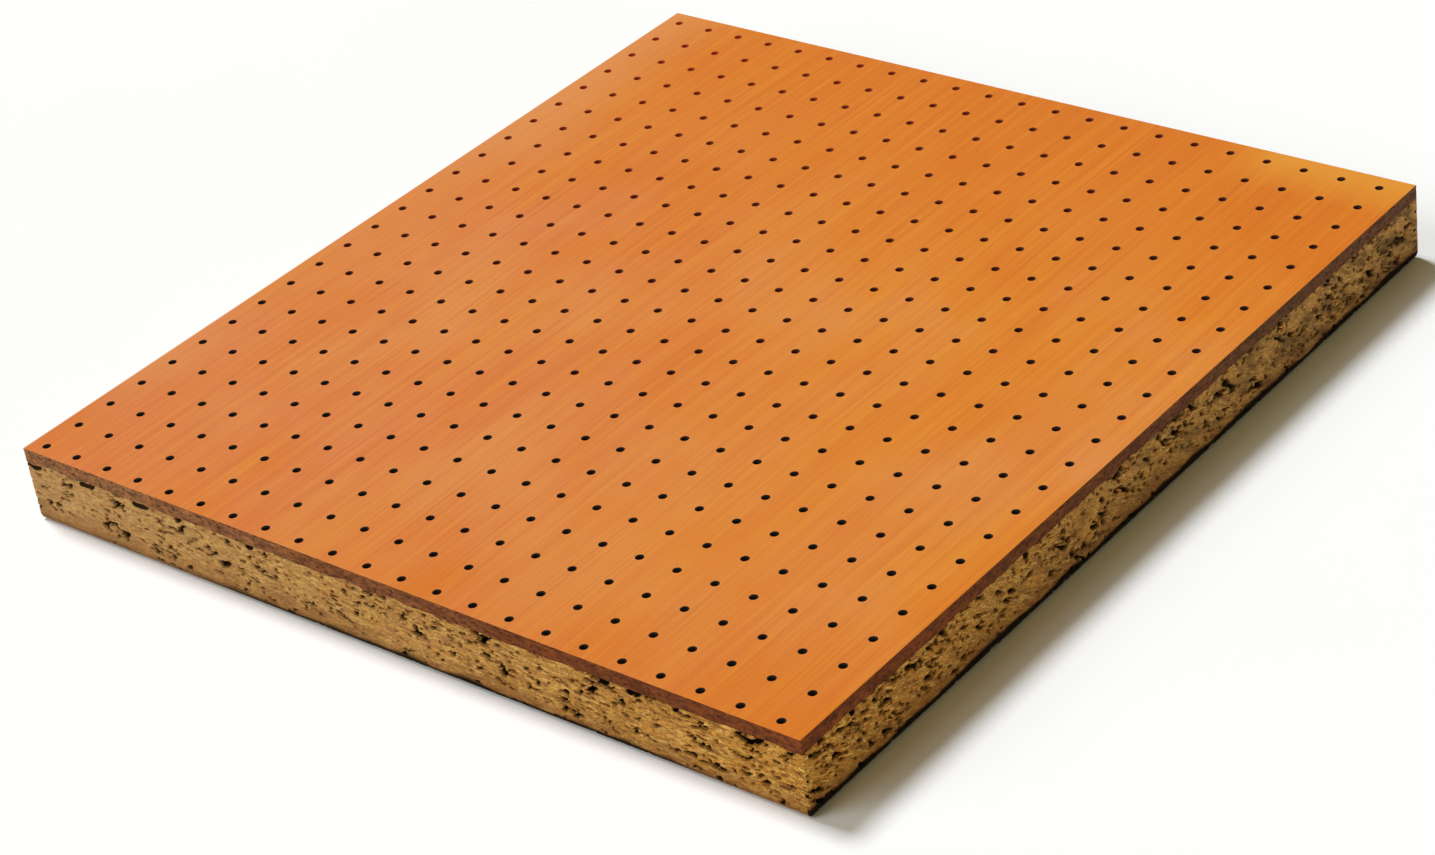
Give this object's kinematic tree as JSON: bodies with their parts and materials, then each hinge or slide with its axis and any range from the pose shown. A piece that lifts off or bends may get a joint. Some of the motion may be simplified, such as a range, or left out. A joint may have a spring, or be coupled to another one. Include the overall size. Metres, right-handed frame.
{
  "type": "wooden acoustic panel",
  "caption": "Flat perforated acoustic panel: a veneered face board with a square grid of small drilled holes on a thick open-pored chipboard core.",
  "frame": {"origin": "centre of the panel's back, on the surface that it rests on", "axes": "+Z from the back to the perforated face, +Y along the face's grain and the panel's longer side, +X across the panel"},
  "size_m": [0.2214, 0.238, 0.0188],
  "materials": {
    "veneered_face": "satin orange-brown veneer with fine straight grain along Y",
    "open_chipboard": "raw sawn chipboard with open pores"
  },
  "bodies": {
    "root": {"face_board": "veneered_face", "chip_core": "open_chipboard"}
  },
  "joints": []
}
